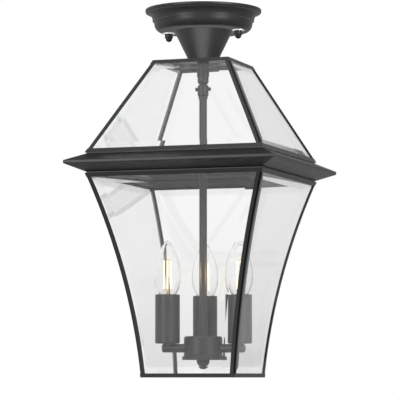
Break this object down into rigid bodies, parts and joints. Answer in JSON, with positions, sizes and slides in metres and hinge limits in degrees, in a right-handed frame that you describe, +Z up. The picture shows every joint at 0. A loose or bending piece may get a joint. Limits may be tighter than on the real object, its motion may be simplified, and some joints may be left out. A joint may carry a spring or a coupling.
{
  "type": "lantern pendant light",
  "caption": "Square close-to-ceiling lantern: round canopy on a conical neck, bevelled glass roof and bowed tapering glass body in a dark metal frame, open below, with a candle-bulb cluster.",
  "frame": {"origin": "centre of the ceiling plane, on the ceiling bracket's upper face midway between its two slots", "axes": "+Z up along the stem, out of the bracket into the ceiling; the front pane faces -Y; +X along the bracket to the viewer's right"},
  "size_m": [0.28, 0.28, 0.48],
  "materials": {
    "frame_paint": "satin graphite paint",
    "zinc_steel": "zinc plated",
    "washer_steel": "bright plated",
    "bevelled_glass": "clear, polished bevels",
    "bulb_glass": "clear",
    "cap_metal": "nickel plated",
    "filament": "glowing",
    "terminal_plastic": "moulded",
    "holder_plastic": "moulded"
  },
  "bodies": {
    "lantern": {"arm_1": "frame_paint", "arm_2": "frame_paint", "arm_3": "frame_paint", "body_bottom_frame": "frame_paint", "body_pane_back": "bevelled_glass", "body_pane_front": "bevelled_glass", "body_pane_left": "bevelled_glass", "body_pane_right": "bevelled_glass", "body_top_frame": "frame_paint", "bracket_studs": "zinc_steel", "candle_sleeve_1": "frame_paint", "candle_sleeve_2": "frame_paint", "candle_sleeve_3": "frame_paint", "canopy": "frame_paint", "canopy_washers": "washer_steel", "ceiling_bracket": "zinc_steel", "corner_post_back_left": "frame_paint", "corner_post_back_right": "frame_paint", "corner_post_front_left": "frame_paint", "corner_post_front_right": "frame_paint", "cornice_back": "frame_paint", "cornice_front": "frame_paint", "cornice_left": "frame_paint", "cornice_right": "frame_paint", "glass_clips": "frame_paint", "hanger_nipple": "frame_paint", "hub_coupling": "frame_paint", "hub_cover": "frame_paint", "hub_cup": "frame_paint", "lampholders": "holder_plastic", "neck_cone": "frame_paint", "nipple_locknut": "zinc_steel", "roof_base_frame": "frame_paint", "roof_cap": "frame_paint", "roof_hip_back_left": "frame_paint", "roof_hip_back_right": "frame_paint", "roof_hip_front_left": "frame_paint", "roof_hip_front_right": "frame_paint", "roof_pane_back": "bevelled_glass", "roof_pane_front": "bevelled_glass", "roof_pane_left": "bevelled_glass", "roof_pane_right": "bevelled_glass", "stem_collar": "frame_paint", "stem_nut": "frame_paint", "stem_rod": "frame_paint", "terminal_block": "terminal_plastic"},
    "canopy_nut_left": {"canopy_nut_left": "frame_paint"},
    "canopy_nut_right": {"canopy_nut_right": "frame_paint"},
    "collar_screw_left": {"collar_screw_left": "frame_paint"},
    "collar_screw_right": {"collar_screw_right": "frame_paint"},
    "finial": {"finial": "frame_paint"},
    "bulb_1": {"bulb_glass_1": "bulb_glass", "bulb_cap_1": "cap_metal", "bulb_filament_1": "filament"},
    "bulb_2": {"bulb_glass_2": "bulb_glass", "bulb_cap_2": "cap_metal", "bulb_filament_2": "filament"},
    "bulb_3": {"bulb_glass_3": "bulb_glass", "bulb_cap_3": "cap_metal", "bulb_filament_3": "filament"}
  },
  "joints": [
    {"name": "canopy_nut_left_turn", "type": "hinge", "parent": "lantern", "child": "canopy_nut_left", "pos_m": [-0.048, 0, -0.0292], "axis": [0, 0, 1], "continuous": true},
    {"name": "canopy_nut_right_turn", "type": "hinge", "parent": "lantern", "child": "canopy_nut_right", "pos_m": [0.048, 0, -0.0292], "axis": [0, 0, 1], "continuous": true},
    {"name": "collar_screw_left_turn", "type": "hinge", "parent": "lantern", "child": "collar_screw_left", "pos_m": [-0.0068, 0, -0.105], "axis": [-1, 0, 0], "continuous": true},
    {"name": "collar_screw_right_turn", "type": "hinge", "parent": "lantern", "child": "collar_screw_right", "pos_m": [0.0068, 0, -0.105], "axis": [1, 0, 0], "continuous": true},
    {"name": "finial_turn", "type": "hinge", "parent": "lantern", "child": "finial", "pos_m": [0, 0, -0.4572], "axis": [0, 0, 1], "continuous": true},
    {"name": "bulb_1_turn", "type": "hinge", "parent": "lantern", "child": "bulb_1", "pos_m": [0.04712, 0.00082, -0.3728], "axis": [0, 0, 1], "continuous": true},
    {"name": "bulb_2_turn", "type": "hinge", "parent": "lantern", "child": "bulb_2", "pos_m": [-0.01299, 0.0453, -0.3728], "axis": [0, 0, 1], "continuous": true},
    {"name": "bulb_3_turn", "type": "hinge", "parent": "lantern", "child": "bulb_3", "pos_m": [-0.04039, -0.02427, -0.3728], "axis": [0, 0, 1], "continuous": true}
  ]
}
